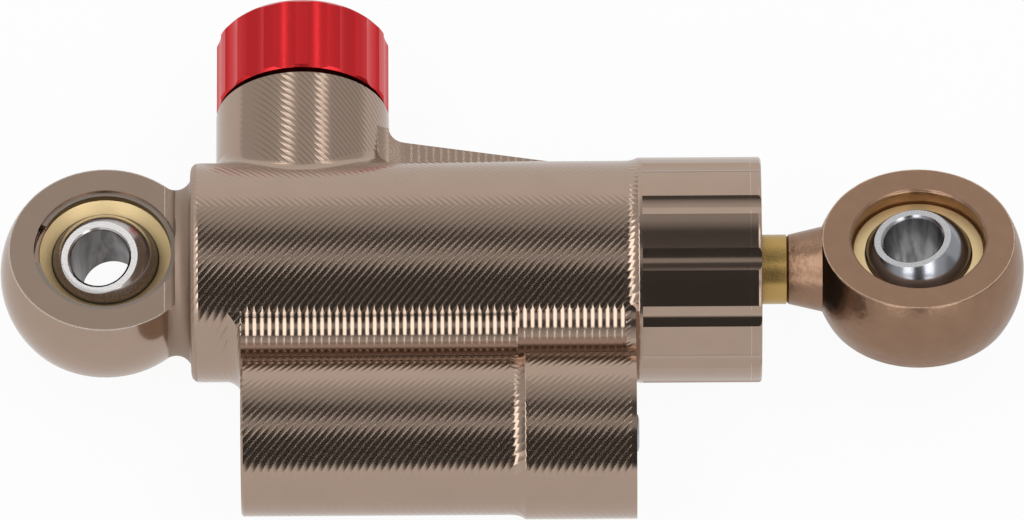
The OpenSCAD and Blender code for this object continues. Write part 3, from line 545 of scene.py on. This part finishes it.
# The reservoir ends in a black anodised cap, held by a circlip, with the steel charging
# screw in its middle.
res_axis = (0.0, res_y, 0.0)
dress(turned("cap_black", (0.035, 0.034, 0.034), 0.35, "X", res_axis), "reservoir_cap")
dress(turned("screw_steel", (0.45, 0.45, 0.46), 0.25, "X", res_axis), "charging_screw")

# The valve under the knob: a needle on the spindle's lead thread, and the dark bonnet that
# closes the boss, with dimples for the two detent balls.
knob_axis = (knob_x, 0.0, 0.0)
dress(turned("bonnet_dark", (0.06, 0.055, 0.05), 0.35, "Y", knob_axis), "bonnet")
dress(turned("valve_steel", (0.5, 0.5, 0.51), 0.25, "Y", knob_axis), "spindle", "needle",
      "knob_screw", "detent_ball_a", "detent_ball_b", "detent_spring_a", "detent_spring_b")

# The knob is aluminium, milled with sixteen flutes, bead-blasted and anodised red. A screw
# in its top holds it on the spindle.
red = Finish("knob_red")
blast = red.noise(22.0, 2.0, *red.place())
dress(red.metal(red.mix(blast, (0.66, 0.028, 0.034, 1.0), (0.72, 0.034, 0.040, 1.0)),
                0.22 + blast * 0.06, blast * 0.004), "knob")

# The studio: a white table under the damper, which keeps its soft shadow and shows the
# camera plain white.
bpy.ops.object.select_all(action="DESELECT")
bpy.ops.mesh.primitive_plane_add(size=6.0, location=(0.06, 0.0, cad_box[0][2]))
table = bpy.context.object
table.name = "table"
white = Finish("white_table")
seen, mirrored, through = [white.add("ShaderNodeLightPath", {}, {}, ray) for ray in
                           ("Is Camera Ray", "Is Glossy Ray", "Is Transmission Ray")]
dull = white.add("ShaderNodeBsdfDiffuse", {}, {"Color": (0.8, 0.8, 0.8, 1.0)})
glow = white.add("ShaderNodeEmission", {},
                 {"Color": white.mix(seen, (0.86, 0.86, 0.86, 1.0), (1.0, 1.0, 1.0, 1.0)),
                  "Strength": 1.0})
both = white.add("ShaderNodeMixShader", {},
                 {0: seen.most(mirrored).most(through) * 0.94, 1: dull, 2: glow})
white.add("ShaderNodeOutputMaterial", {}, {"Surface": both})
table.data.materials.append(white.holder)

# The light: a dark card stands straight above the lens, between two tall softboxes, and a
# broad soft light hangs behind the damper. Angles are in degrees, tilt from the front
# horizon over the top to the back and side from the middle to the right.
strength = 3.0
sky = Finish("studio", bpy.data.worlds)
bpy.context.scene.world = sky.holder
dx, dy, dz = sky.parts(sky.add("ShaderNodeTexCoord", {}, {}, "Generated"))
tilt = dz.angle(-dy) * (180 / math.pi)
side = dx.math("ARCSINE", dx) * (180 / math.pi)
beside = abs(side)


def grey(level):
    """The colour of a light level at the world's strength."""
    return (level / strength,) * 3


def round_the_sky(*levels):
    """Light levels by their tilt."""
    return sky.add("ShaderNodeValToRGB",
                   {"stops": [(angle / 180, grey(level)) for angle, level in levels]},
                   {"Fac": tilt / 180})


middle = round_the_sky((0, 0.9), (7, 0.9), (10, 0.4), (13, 0.036), (60, 0.036), (62, 0.1),
                       (65, 0.43), (79, 0.43), (81, 0.08), (97, 0.07), (103, 0.25), (108, 0.42),
                       (117, 0.52), (122, 0.64), (133, 0.64), (137, 0.91), (180, 0.92))
flank = round_the_sky((0, 0.9), (12, 0.92), (14, 2.8), (37.5, 2.8), (39, 0.4), (43.5, 0.4),
                      (45, 2.8), (100, 2.8), (104, 0.9), (112, 0.6), (180, 0.6))
card_edge = 10.5 - tilt.within(58, 102, 2) * 1.2 + tilt.rises(102, 108) * 15
overhead = tilt.within(15, 104, 4)
tubes = tilt.within(112, 137, 1.0) * (side.within(-15.5, -11.0, 0.5)
                                      + side.within(21.5, 26.5, 0.5))
strips = tilt.within(110, 150, 1.0) * (side.within(-17.8, -16.2, 0.3)
                                       + side.within(18.2, 19.8, 0.3))
camera_ray = sky.add("ShaderNodeLightPath", {}, {}, "Is Camera Ray")
light = sky.mix(beside.rises(card_edge, card_edge + 2.5), middle, flank)
for mask, level in ((beside.rises(27, 32) * overhead, 0.57), (beside.rises(48, 60) * overhead, 0.3),
                    (tubes, 1.5), (strips, 3.75), (camera_ray, 1.0)):
    light = sky.mix(mask, light, (*grey(level), 1.0))
back = sky.add("ShaderNodeBackground", {}, {"Color": light, "Strength": strength})
sky.add("ShaderNodeOutputWorld", {}, {"Surface": back})

# The camera stands in front of the damper and looks down on it, as the photograph does.
# It is far off, with a long lens, so the picture has next to no perspective.
target = (0.0548, 0.001233, 0.000816)
toward = (0.0, -0.5519, 0.8339)
distance = 3.0
roll = -0.355
bpy.ops.object.camera_add()
camera = bpy.context.object
camera.location = [t + distance * w for t, w in zip(target, toward)]
camera.rotation_mode = "ZYX"
camera.rotation_euler = (math.atan2(-toward[1], toward[2]), 0.0, math.radians(roll))
camera.data.lens = 781.8
camera.data.sensor_width = 36.0
camera.data.clip_end = 20.0
bpy.context.scene.camera = camera
bpy.context.scene.view_settings.view_transform = "Standard"
